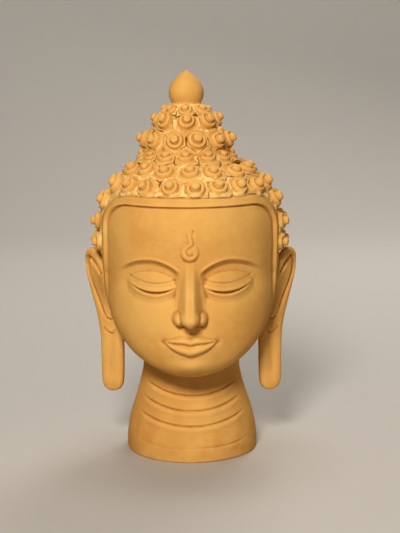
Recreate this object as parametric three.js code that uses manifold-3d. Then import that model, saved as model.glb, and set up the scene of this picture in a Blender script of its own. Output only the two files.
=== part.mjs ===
// Fired clay head, made as one piece: a flared neck cut flat below, an oval face, long split
// ear lobes, a smooth hairline border, rows of snail-shell curls and a bud on top.
// Millimetres, +Z up, the face looks towards -Y, the origin is the middle of the flat underside.
import * as THREE from "three";
import { mergeVertices } from "three/addons/utils/BufferGeometryUtils.js";
import Module from "manifold-3d";

// Overall size, and the sculptor's module: one finger's breadth
const HEIGHT = 340;
const FINGER = 12;

// Neck: a flared drum with incised fold lines that sag at the front
const NECK_FOOT_R = 59;
const NECK_FOOT_Z = 20;
const NECK_EDGE = 0.8;
const NECK_FLARE_FOOT_Z = 8;
const NECK_FLARE_TOP_Z = 84;
const NECK_TOP_R = 43;
const NECK_TOP_Z = 76;
const NECK_HIDDEN_Z = 104;
const NECK_DEPTH_RATIO = 1.04;
const NECK_LINES_Z = [40, 53, 66];
const NECK_LINE_SAG = 8.5;
const NECK_LINE_DEPTH = 1.6;
const NECK_LINE_WIDTH = 2.4;
const NECK_LINE_REACH = 1.1;
const NECK_LINE_SPREAD = 0.8;

// Skull under the hair: an upper half ellipsoid on a fuller lower half
const SKULL_HALF_WIDTH = 80;
const SKULL_HALF_DEPTH = 90;
const SKULL_MIDDLE_Z = 198;
const SKULL_TOP_Z = 270;
const SKULL_BOTTOM_Z = 88;
const SKULL_FULLNESS = 0.455;
const SKULL_COLUMNS = 14;
const SKULL_ROWS = 9;

// Face: hairline to chin is twelve and a half fingers, in three equal thirds
const HAIRLINE_Z = 229;
const FACE_LENGTH = 12.5 * FINGER;
const THIRD = FACE_LENGTH / 3;
const BROW_Z = HAIRLINE_Z - THIRD;
const NOSE_BASE_Z = BROW_Z - THIRD;
const CHIN_Z = NOSE_BASE_Z - THIRD;
const EYE_Z = BROW_Z - THIRD / 3;
const MOUTH_Z = NOSE_BASE_Z - THIRD / 3;
const FACE_WIDEST_Z = 165;
const FACE_SET_IN = 1.2;
const FACE_BACK = 60;
const JAW_TAPER = 2.3;
const JAW_ROUNDING = 2.6;
const CHIN_FORWARD = 60;
const CHIN_TUCK = 32;
const CHIN_BACK = 40;
const CHIN_BALL_Z = CHIN_Z + 13;
const CHIN_SPREAD = [18, 12];
const CHIN_RISE = 5;
const MUZZLE_SPREAD = [27, 20];
const MUZZLE_RISE = 4;
const OVAL_COLUMNS = 32;
const OVAL_ROWS = 22;
const OVAL_FRONT_CROWDING = 0.55;
const EYE_X = 2.7 * FINGER;
const EYE_TURN = 0.42;
const EYE_SINK = 9;
const LID_HALF = [21, 10, 13];
const LID_THICKNESS = 1.7;
const LID_SAG = 6;
const LID_CUT = 40;
const SOCKET_X = 2.75 * FINGER;
const SOCKET_Z = BROW_Z - 13.5;
const SOCKET_HALF = [30, 7.5, 18];
const SOCKET_LEAN = 0.06;
const NOSE_REACH = 1.7 * FINGER;
const NOSE_HALF_WIDTH = 1.2 * FINGER;
const NOSE_RIDGE = 6.5;
const NOSE_TIP = 9;
const NOSE_ROOT = 8;
const WING_HALF = [5.6, 8.5, 6.2];
const WING_REACH = 3;
const MOUTH_HALF_WIDTH = 1.85 * FINGER;
const MOUTH_LIFT = 2;
const UPPER_LIP_HALF = 3.6;
const UPPER_LIP_REACH = 4.2;
const LOWER_LIP_HALF = 4.6;
const LOWER_LIP_REACH = 5;

// Smooth border along the hairline, seen from the front as an upturned U
const BORDER_INNER_X = 73;
const BORDER_OUTER_X = 76;
const BORDER_DROP = 2.2;
const BORDER_WIDTH = 7.6;
const BORDER_CORNER_R = 21;
const BORDER_OUTER_CORNER_R = 26;
const BORDER_FOOT_Z = 140;
const BORDER_BOTTOM_Z = HAIRLINE_Z - BORDER_DROP;
const BORDER_TOP_Z = BORDER_BOTTOM_Z + BORDER_WIDTH;
const BORDER_PROUD = 2.4;
const WINDOW_BACK_Y = -18;

// Forehead mark: a drop with a tail
const MARK_Z = 190;
const MARK_R = 7.2;
const MARK_TAIL = 19;
const MARK_PROUD = 1.8;

// Ears: a slanted shell above, a long hanging lobe below
const EAR_TOP_Z = 182;
const EAR_BOTTOM_Z = 51.5;
const LOBE_X = 71.3;
const EAR_TOP_X = 88;
const EAR_HALF_WIDTH = 10.2;
const EAR_HALF_THICKNESS = 5.6;
const EAR_TOP_SLANT = 0.87;
const LOBE_SLANT = 0.26;
const EAR_TOP_Y = 6;
const LOBE_Y = -2;
const EAR_BACK_Y = 25;
const EAR_HOLLOW = 5;
const EAR_HOLLOW_FOOT_Z = 116;
const EAR_HOLLOW_TOP_Z = 176;
const EAR_MIDDLE_Z = 150;
const LOBE_FREE_Z = 88;

// Cranial bun and the bud on it, as radius at height, set a little to one side by hand
const BUN_SHIFT_X = -2.5;
const BUN_PROFILE = [[44, 254], [42, 264], [35, 279], [26, 293], [18, 304], [13, 311], [0, 316]];
const BUD_R = 15.6;
const BUD_WIDEST_Z = 321;
const BUD_FOOT_R = 12;
const BUD_FOOT_Z = 310;
const BUD_SHOULDER = 1.8;
const BUD_POINT = 0.9;

// Curls: stepped cones in staggered rows
const CURL_R = 11.6;
const CURL_RISE = 9;
const CURL_STEP_R = 0.6;
const CURL_STEP_RISE = 0.56;
const CURL_SINK = 5;
const CURL_PITCH = 22.8;
const CURL_STRAY = 0.06;
const CURL_CLEAR_OF_BORDER = 1.2;
const CURLS_BESIDE_BORDER_Y = -14;
const CURL_SIDES = 5;
const PLAIN_CURL_SIDES = 4;
const PLAIN_CURL_RISE = 8;
const PLAIN_CURLS_Y = 10;
const SKULL_ROWS_Z = [253, 241, 226, 208, 190, 172, 154, 136, 119];
const ROW_STAGGER = 0.2;
const BUN_ROWS = [
  { z: 268, tilt: 0.78, size: 0.92, start: 0 },
  { z: 279, tilt: 0.45, size: 0.98, start: 0.5 },
  { z: 295.5, tilt: 0.6, size: 0.94, start: 0 },
  { z: 304.5, tilt: 0.85, size: 0.72, start: 0 },
];

const CLAY = new THREE.MeshStandardMaterial({ color: 0xd79c52, roughness: 0.85, metalness: 0 });

const wasm = await Module();
wasm.setup();
const { clamp, lerp } = THREE.MathUtils;
const ramp = (from, to, value) => THREE.MathUtils.smoothstep(value, from, to);
const bell = (offset, width) => Math.exp(-((offset / width) ** 2));

// Repeatable scatter between -1 and 1 for hand-placed things.
function scatter(seed) {
  const wave = Math.sin(seed * 12.9898) * 43758.5453;
  return 2 * (wave - Math.floor(wave)) - 1;
}

// Moves every vertex of a geometry to the place that a function gives for it.
function shaped(geometry, place) {
  const points = geometry.attributes.position;
  const point = new THREE.Vector3();
  for (let i = 0; i < points.count; i++) {
    const [x, y, z] = place(point.fromBufferAttribute(points, i));
    points.setXYZ(i, x, y, z);
  }
  return geometry;
}

// A closed geometry as a solid that can be joined and cut.
function solid(geometry) {
  geometry.deleteAttribute("normal");
  geometry.deleteAttribute("uv");
  const merged = mergeVertices(geometry, 1e-3);
  return new wasm.Manifold(
    new wasm.Mesh({
      numProp: 3,
      vertProperties: merged.attributes.position.array,
      triVerts: new Uint32Array(merged.index.array),
    }),
  );
}

// A shape turned round the vertical axis from [radius, height] pairs that end at a point on top.
function turned(pairs, sides) {
  const foot = [0, pairs[0][1]];
  const profile = [foot, ...pairs].map(([radius, height]) => new THREE.Vector2(radius, height));
  return new THREE.LatheGeometry(profile, sides).rotateX(Math.PI / 2);
}

// Share of the skull's full section that is left at a height.
function skullShare(z) {
  if (z > SKULL_MIDDLE_Z) {
    const up = clamp((z - SKULL_MIDDLE_Z) / (SKULL_TOP_Z - SKULL_MIDDLE_Z), 0, 1);
    return Math.sqrt(1 - up * up);
  }
  const down = clamp((SKULL_MIDDLE_Z - z) / (SKULL_MIDDLE_Z - SKULL_BOTTOM_Z), 0, 1);
  return (1 - down ** JAW_ROUNDING) ** SKULL_FULLNESS;
}

function skull() {
  return solid(shaped(new THREE.SphereGeometry(1, SKULL_COLUMNS, SKULL_ROWS), (v) => {
    const reach = v.y > 0 ? SKULL_TOP_Z - SKULL_MIDDLE_Z : SKULL_MIDDLE_Z - SKULL_BOTTOM_Z;
    const z = SKULL_MIDDLE_Z + reach * v.y;
    const turn = Math.atan2(v.x, v.z);
    const share = skullShare(z);
    return [
      SKULL_HALF_WIDTH * share * Math.sin(turn),
      -SKULL_HALF_DEPTH * share * Math.cos(turn),
      z,
    ];
  }));
}

// Fullness that the oval gains round the mouth and at the chin.
function fullness(x, z) {
  const muzzle = bell(x, MUZZLE_SPREAD[0]) * bell(z - MOUTH_Z, MUZZLE_SPREAD[1]);
  const chin = bell(x, CHIN_SPREAD[0]) * bell(z - CHIN_BALL_Z, CHIN_SPREAD[1]);
  return MUZZLE_RISE * muzzle + CHIN_RISE * chin;
}

// Half width, front depth and middle line of the face's oval at a height.
function ovalAt(z) {
  const down = clamp((FACE_WIDEST_Z - z) / (FACE_WIDEST_Z - CHIN_Z), 0, 1);
  const up = clamp((z - FACE_WIDEST_Z) / (SKULL_TOP_Z - FACE_WIDEST_Z), 0, 1);
  const closed = Math.sqrt(1 - up ** 12);
  const share = skullShare(Math.max(z, FACE_WIDEST_Z)) * closed;
  const tapered = Math.sqrt(1 - down ** JAW_TAPER);
  const rounded = (1 - down ** JAW_ROUNDING) ** SKULL_FULLNESS;
  return {
    halfWidth: (SKULL_HALF_WIDTH - FACE_SET_IN) * share * tapered,
    front: ((SKULL_HALF_DEPTH - FACE_SET_IN) * share - CHIN_TUCK * down) * rounded,
    back: lerp(FACE_BACK, CHIN_BACK, down) * rounded * closed,
    middle: -CHIN_FORWARD * down ** 1.5,
  };
}

// The y of the face's front at a place in the front view.
function faceY(x, z) {
  const { halfWidth, front, middle } = ovalAt(z);
  return middle - front * Math.sqrt(Math.max(0, 1 - (x / halfWidth) ** 2)) - fullness(x, z);
}

// The face's oval, grown by some height.
function oval(grow) {
  return solid(shaped(new THREE.SphereGeometry(1, OVAL_COLUMNS, OVAL_ROWS), (v) => {
    const z = FACE_WIDEST_Z + v.y * (v.y < 0 ? FACE_WIDEST_Z - CHIN_Z : SKULL_TOP_Z - FACE_WIDEST_Z);
    const column = Math.atan2(v.x, v.z) / Math.PI;
    const turn = Math.PI * lerp(column ** 5, column, OVAL_FRONT_CROWDING);
    const { halfWidth, front, back, middle } = ovalAt(z);
    const open = clamp(halfWidth / 20, 0, 1);
    const x = (halfWidth + grow * open) * Math.sin(turn);
    const deep = Math.cos(turn) > 0 ? front + grow * open : back;
    const facing = ramp(0, 0.5, Math.cos(turn)) * open;
    return [x, middle - deep * Math.cos(turn) - fullness(x, z) * facing, z];
  }));
}

// An ellipsoid of half sizes [across, deep, high], leant back and turned to a side, at a place.
function ellipsoid([across, deep, high], lean, turn, [x, y, z], columns, rows) {
  const ball = new THREE.SphereGeometry(1, columns, rows).rotateX(Math.PI / 2);
  return solid(ball.scale(across, deep, high).rotateX(-lean).rotateZ(turn).translate(x, y, z));
}

// The hollow under a brow; its upper edge is the brow's arch.
function browHollow(side) {
  const x = side * SOCKET_X;
  const place = [x, faceY(x, SOCKET_Z), SOCKET_Z];
  return ellipsoid(SOCKET_HALF, SOCKET_LEAN, side * EYE_TURN, place, 16, 9);
}

// A lowered upper lid over a smaller ball, so that the lid's edge stands proud of the eye.
function eye(side) {
  const x = side * EYE_X;
  const place = [x, faceY(x, EYE_Z) + EYE_SINK, EYE_Z];
  const thin = LID_HALF.map((half) => half - LID_THICKNESS);
  const lid = ellipsoid(LID_HALF, 0, side * EYE_TURN, place, 12, 8);
  const ball = ellipsoid(thin, 0, side * EYE_TURN, place, 12, 7);
  const above = new THREE.Shape();
  above.moveTo(x - LID_CUT, EYE_Z + LID_CUT);
  above.lineTo(x - LID_CUT, EYE_Z);
  above.quadraticCurveTo(x, EYE_Z - 2 * LID_SAG, x + LID_CUT, EYE_Z);
  above.lineTo(x + LID_CUT, EYE_Z + LID_CUT);
  return lid.intersect(frontPrism(above)).add(ball);
}

// Place of a ring vertex: how far along the ring's axis, across it and to the fore.
function ringPlace(v) {
  const ring = Math.max(Math.hypot(v.x, v.z), 1e-6);
  return { along: clamp(v.y, -1, 1), across: v.x / ring, fore: v.z / ring };
}

function nose() {
  const bridge = solid(shaped(new THREE.SphereGeometry(1, 10, 10), (v) => {
    const { along, across, fore } = ringPlace(v);
    const z = lerp(NOSE_BASE_Z - 1, BROW_Z + 2, 0.5 + 0.5 * along);
    const down = 0.5 - 0.5 * along;
    const underside = 0.55 * ramp(0.88, 1, down);
    const reach = NOSE_REACH * down ** 1.1 * (1 - underside) + 1;
    const open = 1 - Math.abs(along) ** 14;
    const halfWidth = lerp(NOSE_RIDGE, NOSE_TIP, ramp(0.3, 0.95, down)) * open;
    const out = fore > 0 ? reach * fore ** 1.3 : NOSE_ROOT * fore;
    return [halfWidth * across, faceY(0, z) - lerp(reach, out, ramp(0, 0.001, open)), z];
  }));
  const wings = [-1, 1].map((side) => {
    const x = side * (NOSE_HALF_WIDTH - WING_HALF[0]);
    const z = NOSE_BASE_Z + WING_HALF[2] - 1;
    return ellipsoid(WING_HALF, 0, 0, [x, faceY(0, z) - WING_REACH, z], 8, 6);
  });
  return wasm.Manifold.union([bridge, ...wings]);
}

// A lip along the mouth's line: upper with side 1, lower with side -1.
function lip(side) {
  const half = side > 0 ? UPPER_LIP_HALF : LOWER_LIP_HALF;
  const reach = side > 0 ? UPPER_LIP_REACH : LOWER_LIP_REACH;
  return solid(shaped(new THREE.SphereGeometry(1, 8, 8), (v) => {
    const { along, across, fore } = ringPlace(v);
    const x = MOUTH_HALF_WIDTH * along;
    const share = Math.sqrt(1 - along * along);
    const line = MOUTH_Z + MOUTH_LIFT * along * along;
    const dip = side > 0 ? 0.3 * bell(x, 4) : 0;
    const z = line + half * share * (side * (0.9 - dip) - across);
    return [x, faceY(x, z) - reach * share * fore, z];
  }));
}

// The drop on the forehead, laid on the face.
function foreheadMark() {
  return solid(shaped(new THREE.SphereGeometry(1, 8, 8), (v) => {
    const { along, across, fore } = ringPlace(v);
    const z = MARK_Z + (along > 0 ? MARK_TAIL : MARK_R) * along;
    const halfWidth = MARK_R * Math.sqrt(1 - along * along) * (along > 0 ? (1 - along) ** 0.6 : 1);
    const x = halfWidth * across;
    return [x, faceY(x, z) - MARK_PROUD * fore * Math.sqrt(1 - along * along), z];
  }));
}

function face() {
  const hollowed = oval(0).subtract(browHollow(1)).subtract(browHollow(-1));
  const added = [eye(1), eye(-1), nose(), lip(1), lip(-1), foreheadMark()];
  return wasm.Manifold.union([hollowed, ...added]);
}

// A flat outline drawn in the front view, pushed through the head towards the viewer.
function frontPrism(outline) {
  const settings = { depth: 2 * SKULL_HALF_DEPTH, bevelEnabled: false, curveSegments: 5 };
  const prism = new THREE.ExtrudeGeometry(outline, settings);
  return solid(prism.rotateX(Math.PI / 2).translate(0, WINDOW_BACK_Y, 0));
}

// The face's window up to the hair, as an upturned U with round shoulders.
function windowOutline(halfWidth, topZ, cornerR, footZ) {
  const outline = new THREE.Shape();
  outline.moveTo(halfWidth, footZ);
  outline.absarc(halfWidth - cornerR, topZ - cornerR, cornerR, 0, Math.PI / 2, false);
  outline.absarc(cornerR - halfWidth, topZ - cornerR, cornerR, Math.PI / 2, Math.PI, false);
  outline.lineTo(-halfWidth, footZ);
  return outline;
}

const outerWindow = (footZ) =>
  frontPrism(windowOutline(BORDER_OUTER_X, BORDER_TOP_Z, BORDER_OUTER_CORNER_R, footZ));
const innerWindow = (footZ) =>
  frontPrism(windowOutline(BORDER_INNER_X, BORDER_BOTTOM_Z, BORDER_CORNER_R, footZ));

function hairlineBorder() {
  const strip = outerWindow(BORDER_FOOT_Z).subtract(innerWindow(BORDER_FOOT_Z - 20));
  return oval(BORDER_PROUD).intersect(strip);
}

// Depth and place of the ear at a height: middle x and y, slant of its blade, and how full it is.
function earPoint(v, side) {
  const z = lerp(EAR_BOTTOM_Z, EAR_TOP_Z, 0.5 + 0.5 * v.y);
  const { along, across: rightward, fore } = ringPlace(v);
  const across = side * rightward;
  const square = (value) => Math.sign(value) * Math.abs(value) ** 0.7;
  const ends = (1 - Math.abs(along) ** (along > 0 ? 5 : 9)) ** 0.5;
  const raised = ramp(LOBE_FREE_Z, EAR_MIDDLE_Z, z);
  const slant = lerp(LOBE_SLANT, EAR_TOP_SLANT, raised);
  const halfBlade = (EAR_HALF_WIDTH / Math.cos(slant)) * ends;
  const reach = square(across) * halfBlade;
  const rim = ramp(EAR_HOLLOW_TOP_Z - 10, EAR_HOLLOW_TOP_Z, z);
  const inLeaf = ramp(EAR_HOLLOW_FOOT_Z, EAR_MIDDLE_Z, z) * (1 - rim);
  const hollow = fore > 0 ? EAR_HOLLOW * inLeaf * bell(across - 0.05, 0.5) : 0;
  const off = square(fore) * EAR_HALF_THICKNESS * ends ** 0.5 - hollow;
  const middleX = lerp(LOBE_X, EAR_TOP_X, ramp(LOBE_FREE_Z + 8, EAR_TOP_Z + 4, z));
  const middleY = lerp(LOBE_Y, EAR_TOP_Y, raised);
  return [
    side * (middleX + reach * Math.cos(slant) + off * Math.sin(slant)),
    middleY + reach * Math.sin(slant) - off * Math.cos(slant),
    z,
  ];
}

const ear = (side) => solid(shaped(new THREE.SphereGeometry(1, 10, 14), (v) => earPoint(v, side)));

// Neck rows: the foot, then each fold line as an edge, a floor and an edge.
function neck() {
  const rows = [[0, 0], [NECK_EDGE, 0], [NECK_FOOT_Z, 0]];
  for (const line of NECK_LINES_Z) {
    rows.push([line - NECK_LINE_WIDTH / 2, 0], [line, 1], [line + NECK_LINE_WIDTH / 2, 0]);
  }
  rows.push([NECK_TOP_Z, 0], [NECK_HIDDEN_Z, 0]);
  const radius = (z) => {
    const flared = lerp(NECK_FOOT_R, NECK_TOP_R, ramp(NECK_FLARE_FOOT_Z, NECK_FLARE_TOP_Z, z));
    return z < NECK_EDGE / 2 ? flared - NECK_EDGE : flared;
  };
  const drum = turned([...rows.map(([z]) => [radius(z), z]), [0, NECK_HIDDEN_Z]], 24);
  return solid(shaped(drum, (v) => {
    const turn = Math.atan2(v.x, -v.y);
    const cut = rows.find(([z]) => Math.abs(z - v.z) < 1e-3)[1];
    const onLines = v.z > NECK_FOOT_Z && v.z < NECK_TOP_Z;
    const sag = onLines ? NECK_LINE_SAG * bell(turn, NECK_LINE_SPREAD) : 0;
    const shown = 1 - ramp(NECK_LINE_REACH - 0.25, NECK_LINE_REACH, Math.abs(turn));
    const round = Math.hypot(v.x, v.y);
    const swell = round > 1 ? (radius(v.z - sag) - cut * NECK_LINE_DEPTH * shown) / round : 0;
    return [v.x * swell, v.y * swell * NECK_DEPTH_RATIO, v.z - sag];
  }));
}

const bun = () => solid(turned(BUN_PROFILE, 14).translate(BUN_SHIFT_X, 0, 0));

function bud() {
  const pairs = [[BUD_FOOT_R, BUD_FOOT_Z]];
  for (const share of [0.05, 0.34, 0.6, 0.82]) {
    const radius = BUD_R * (1 - share ** BUD_SHOULDER) ** BUD_POINT;
    pairs.push([radius, lerp(BUD_WIDEST_Z, HEIGHT, share)]);
  }
  pairs.push([0, HEIGHT]);
  return solid(turned(pairs, 14).translate(BUN_SHIFT_X, 0, 0));
}

// One curl, standing on a point along a direction; those at the back are plain cones.
function curl(point, outward, size) {
  const foot = [CURL_R * size, -CURL_SINK];
  const step = [CURL_R * CURL_STEP_R * size, CURL_RISE * CURL_STEP_RISE * size];
  const plain = point.y > PLAIN_CURLS_Y;
  const tip = [0, (plain ? PLAIN_CURL_RISE : CURL_RISE) * size];
  const cone = plain ? turned([foot, tip], PLAIN_CURL_SIDES) : turned([foot, step, tip], CURL_SIDES);
  const stand = new THREE.Quaternion().setFromUnitVectors(new THREE.Vector3(0, 0, 1), outward);
  return solid(cone.applyQuaternion(stand).translate(point.x, point.y, point.z));
}

// Distance outside the border's outer edge in the front view, below zero inside it.
function outsideBorder(x, z) {
  const across = Math.abs(x) - BORDER_OUTER_X + BORDER_OUTER_CORNER_R;
  const up = z - BORDER_TOP_Z + BORDER_OUTER_CORNER_R;
  const past = across > 0 && up > 0 ? Math.hypot(across, up) : Math.max(across, up);
  return past - BORDER_OUTER_CORNER_R;
}

// True where the face, the border or an ear leaves no room for a curl.
function bare(x, y, z) {
  const inWindow = y < CURLS_BESIDE_BORDER_Y && outsideBorder(x, z) < CURL_CLEAR_OF_BORDER;
  const byEar = Math.abs(x) > NECK_TOP_R && y < EAR_BACK_Y && z < EAR_TOP_Z + 4;
  return inWindow || byEar;
}

function skullCurls() {
  const curls = [];
  SKULL_ROWS_Z.forEach((rowZ, row) => {
    const share = skullShare(rowZ);
    const around = Math.PI * (SKULL_HALF_WIDTH + SKULL_HALF_DEPTH) * share;
    const count = Math.round(around / CURL_PITCH);
    for (let i = 0; i < count; i++) {
      const seed = 100 * row + i + 1;
      const turn = (2 * Math.PI * (i + ROW_STAGGER * (row % 2) + CURL_STRAY * scatter(seed))) / count;
      const z = rowZ + CURL_RISE * 2 * CURL_STRAY * scatter(seed + 0.5);
      const wide = skullShare(z);
      const x = SKULL_HALF_WIDTH * wide * Math.sin(turn);
      const y = -SKULL_HALF_DEPTH * wide * Math.cos(turn);
      if (bare(x, y, z)) continue;
      const fall = (skullShare(z + 0.5) - skullShare(z - 0.5)) * wide;
      const outward = new THREE.Vector3(x / SKULL_HALF_WIDTH ** 2, y / SKULL_HALF_DEPTH ** 2, -fall);
      const size = 1 + CURL_STRAY * scatter(seed + 0.25);
      curls.push(curl(new THREE.Vector3(x, y, z), outward.normalize(), size));
    }
  });
  return curls;
}

function bunRadius(z) {
  const next = BUN_PROFILE.findIndex(([, height]) => height > z);
  const [fromR, fromZ] = BUN_PROFILE[next - 1];
  const [toR, toZ] = BUN_PROFILE[next];
  return lerp(fromR, toR, (z - fromZ) / (toZ - fromZ));
}

function bunCurls() {
  const curls = [];
  BUN_ROWS.forEach(({ z, tilt, size, start }, row) => {
    const radius = bunRadius(z);
    const count = Math.round((2 * Math.PI * (radius + CURL_RISE / 3)) / (CURL_PITCH * size));
    for (let i = 0; i < count; i++) {
      const seed = 100 * (SKULL_ROWS_Z.length + row) + i + 1;
      const turn = (2 * Math.PI * (i + start + CURL_STRAY * scatter(seed))) / count;
      const side = new THREE.Vector3(Math.sin(turn), -Math.cos(turn), 0);
      const outward = side.clone().multiplyScalar(Math.cos(tilt)).setZ(Math.sin(tilt));
      const point = side.multiplyScalar(radius).setZ(z);
      point.x += BUN_SHIFT_X;
      curls.push(curl(point, outward, size * (1 + CURL_STRAY * scatter(seed + 0.25))));
    }
  });
  return curls;
}

// A solid back as a geometry for a mesh.
function geometryOf(made) {
  const { vertProperties, triVerts } = made.getMesh();
  const geometry = new THREE.BufferGeometry();
  geometry.setAttribute("position", new THREE.BufferAttribute(vertProperties, 3));
  geometry.setIndex(new THREE.BufferAttribute(triVerts, 1));
  geometry.computeVertexNormals();
  return geometry;
}

const scalp = skull().subtract(outerWindow(SKULL_BOTTOM_Z - 30));
const body = wasm.Manifold.union([
  face(), hairlineBorder(), scalp, neck(), ear(1), ear(-1), bun(), bud(),
  ...skullCurls(), ...bunCurls(),
]);

const head = new THREE.Mesh(geometryOf(body), CLAY);
head.name = "buddha_head";
const group = new THREE.Group();
group.add(head);

export default group;
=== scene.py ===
"""Fired clay head with curled hair: the fine model, its clay, the studio and the camera."""

import itertools
import math

import bmesh
import bpy
import numpy as np
from mathutils import Matrix, Vector


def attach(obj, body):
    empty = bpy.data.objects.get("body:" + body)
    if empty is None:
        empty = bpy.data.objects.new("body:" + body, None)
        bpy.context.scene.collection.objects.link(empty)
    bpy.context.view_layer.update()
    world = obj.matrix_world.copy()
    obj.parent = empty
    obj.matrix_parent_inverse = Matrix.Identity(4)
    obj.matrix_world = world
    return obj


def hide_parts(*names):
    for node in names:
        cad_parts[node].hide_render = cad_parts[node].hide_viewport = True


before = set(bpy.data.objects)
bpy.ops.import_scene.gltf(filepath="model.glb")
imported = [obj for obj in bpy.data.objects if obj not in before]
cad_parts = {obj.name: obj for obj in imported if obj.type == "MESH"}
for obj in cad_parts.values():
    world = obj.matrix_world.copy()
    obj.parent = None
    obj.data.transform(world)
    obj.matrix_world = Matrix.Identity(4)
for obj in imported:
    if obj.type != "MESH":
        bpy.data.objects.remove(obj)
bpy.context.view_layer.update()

# Sizes are in millimetres, as in the part's source, and points become metres when they are placed
MM = 0.001
HEIGHT = 340
FINGER = 12

# Neck
NECK_FOOT_R = 59
NECK_EDGE = 0.8
NECK_FLARE_FOOT_Z = 8
NECK_FLARE_TOP_Z = 84
NECK_TOP_R = 43
NECK_HIDDEN_Z = 104
NECK_DEPTH_RATIO = 1.04
NECK_LINES_Z = [40, 53, 66]
NECK_LINE_SAG = 8.5
NECK_LINE_DEPTH = 1.9
NECK_LINE_HALF = 0.9
NECK_LINE_REACH = 1.1
NECK_LINE_FADE = 0.35
NECK_LINE_OVERRUN = 0.05
NECK_LINE_WANDER = 0.3
NECK_FOLD_SWELL = 0.7
NECK_FOLD_BELOW = 3
NECK_FOLD_HALF = 2.6
FOOT_ROUNDING = 1.6
FOOT_LINE_Z = 17
FOOT_LINE_SAG_SHARE = 0.55
FOOT_LINE_WANDER = 0.6
FOOT_LINE_DEPTH = 0.8
FOOT_LINE_HALF = 0.7
FOOT_LINE_FAINT = 0.4
NECK_RING_STEP = 0.75
NECK_SIDES = 320

# Skull under the hair
SKULL_HALF_WIDTH = 80
SKULL_HALF_DEPTH = 90
SKULL_MIDDLE_Z = 198
SKULL_TOP_Z = 270
SKULL_BOTTOM_Z = 88
SKULL_FULLNESS = 0.455

# Face on a canon of thirds
HAIRLINE_Z = 229
THIRD = 50
BROW_Z = HAIRLINE_Z - THIRD
NOSE_BASE_Z = BROW_Z - THIRD
CHIN_Z = NOSE_BASE_Z - THIRD
EYE_Z = BROW_Z - THIRD / 3
MOUTH_Z = NOSE_BASE_Z - THIRD / 3
FACE_WIDEST_Z = 165
FACE_SET_IN = 1.2
FACE_BACK = 60
JAW_TAPER = 2.3
JAW_ROUNDING = 2.6
CHIN_FORWARD = 60
CHIN_TUCK = 32
CHIN_BACK = 40
CHIN_BALL_Z = CHIN_Z + 13
CHIN_SPREAD = [18, 12]
CHIN_RISE = 5
MUZZLE_SPREAD = [27, 20]
MUZZLE_RISE = 4
OVAL_FRONT_CROWDING = 0.55
CHEEK_X = 38
CHEEK_Z = 134
CHEEK_SPREAD = [17, 18]
CHEEK_RISE = 2.2

# Brows; of each half the fall and the run from the peak
BROW_RISE = 4
BROW_PEAK_X = 34
BROW_INNER = [11, 26]
BROW_OUTER = [12, 30]
BROW_EDGE = 1.3
SOCKET_DEPTH = 4.4

# Eyes; half sizes are across and up
EYE_X = 2.7 * FINGER
EYE_HALF = [22, 13.5]
EYE_DROP = 3
EYE_SINK = 6.0
EYE_BULGE = 7.6
LID_DROP = 6.4
LID_SAG = 5.2
LID_SLANT = 0.9
LID_GAP = 2.6
LID_EDGE = 1.5
LID_CREASE = 0.9
LID_CREASE_UP = 7
LOWER_LID_EDGE = 0.8
EYE_OPENING = 2.0

# Nose; two values run from root to tip, three are half sizes across, outward and up
NOSE_REACH = 1.7 * FINGER
NOSE_HALF_WIDTH = 1.2 * FINGER
NOSE_ROOT_REACH = 2.2
NOSE_RIDGE = [2.6, 4.4]
NOSE_SLOPE = [5.5, 8.5]
NOSE_TIP_Z = NOSE_BASE_Z + 7
NOSE_TIP_HALF = [8.2, 9.8, 8]
WING_HALF = [5.2, 11, 6]
NOSTRIL_DEPTH = 3.5
OFF_THE_NOSE = 40

# Mouth; of each lip the height and how far it stands out
MOUTH_HALF_WIDTH = 1.85 * FINGER
MOUTH_LIFT = 2.2
UPPER_LIP = [7.4, 4.0]
LOWER_LIP = [9.4, 4.8]
LIP_FULLNESS = 0.7

# Smooth border along the hairline
BORDER_INNER_X = 73
BORDER_OUTER_X = 76
BORDER_DROP = 2.2
BORDER_WIDTH = 7.6
BORDER_CORNER_R = 21
BORDER_OUTER_CORNER_R = 26
BORDER_FOOT_Z = 140
BORDER_BOTTOM_Z = HAIRLINE_Z - BORDER_DROP
BORDER_TOP_Z = BORDER_BOTTOM_Z + BORDER_WIDTH
BORDER_PROUD = 2.4
BORDER_LINE_DEPTH = 1.1
WINDOW_BACK_Y = -18

# Forehead mark: a coiled drop with a flame tail
MARK_Z = 190
MARK_R = 7.4
MARK_PROUD = 3.2
MARK_LINE_DEPTH = 1.1
MARK_LINE_HALF = 0.75
# Its carved lines, as steps aside and up from the middle: one winds down the tail into the drop
MARK_COIL = [
    (3.1, 18.4), (2.1, 15.7), (2.2, 12.2), (3.2, 9.2), (3.3, 6.8), (1.9, 5.1), (-0.5, 3.9),
    (-2.3, 2.2), (-2.7, 0.2), (-1.5, -1.8), (0.6, -2.4), (2.6, -1.1),
]
MARK_TAIL_LINE = [(-2.6, 14.5), (-1.7, 10.7), (-1.4, 7.7)]

# Ears
EAR_TOP_Z = 182
EAR_BOTTOM_Z = 51.5
LOBE_X = 71.3
EAR_TOP_X = 88
EAR_HALF_WIDTH = 10.2
EAR_HALF_THICKNESS = 5.6
EAR_TOP_SLANT = 0.87
LOBE_SLANT = 0.26
EAR_TOP_Y = 6
LOBE_Y = -2
EAR_BACK_Y = 25
EAR_HOLLOW = 2.6
EAR_HOLLOW_FOOT_Z = 116
EAR_HOLLOW_TOP_Z = 176
EAR_MIDDLE_Z = 150
LOBE_FREE_Z = 88
EAR_RIM_DEPTH = [1.8, 4.6]
EAR_RIM_HALF = [1.2, 1.9]
TONGUE_END_Z = 117.6
TONGUE_LIFT = 1.1
TUCK_END_Z = 105
TUCK_LIFT = 0.8
TUCK_DEPTH = 1.6
LOBE_LINE_DEPTH = 1.4
LOBE_LINE_HALF = 3.0
LOBE_LINE_FADE_Z = [54, 76]
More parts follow.
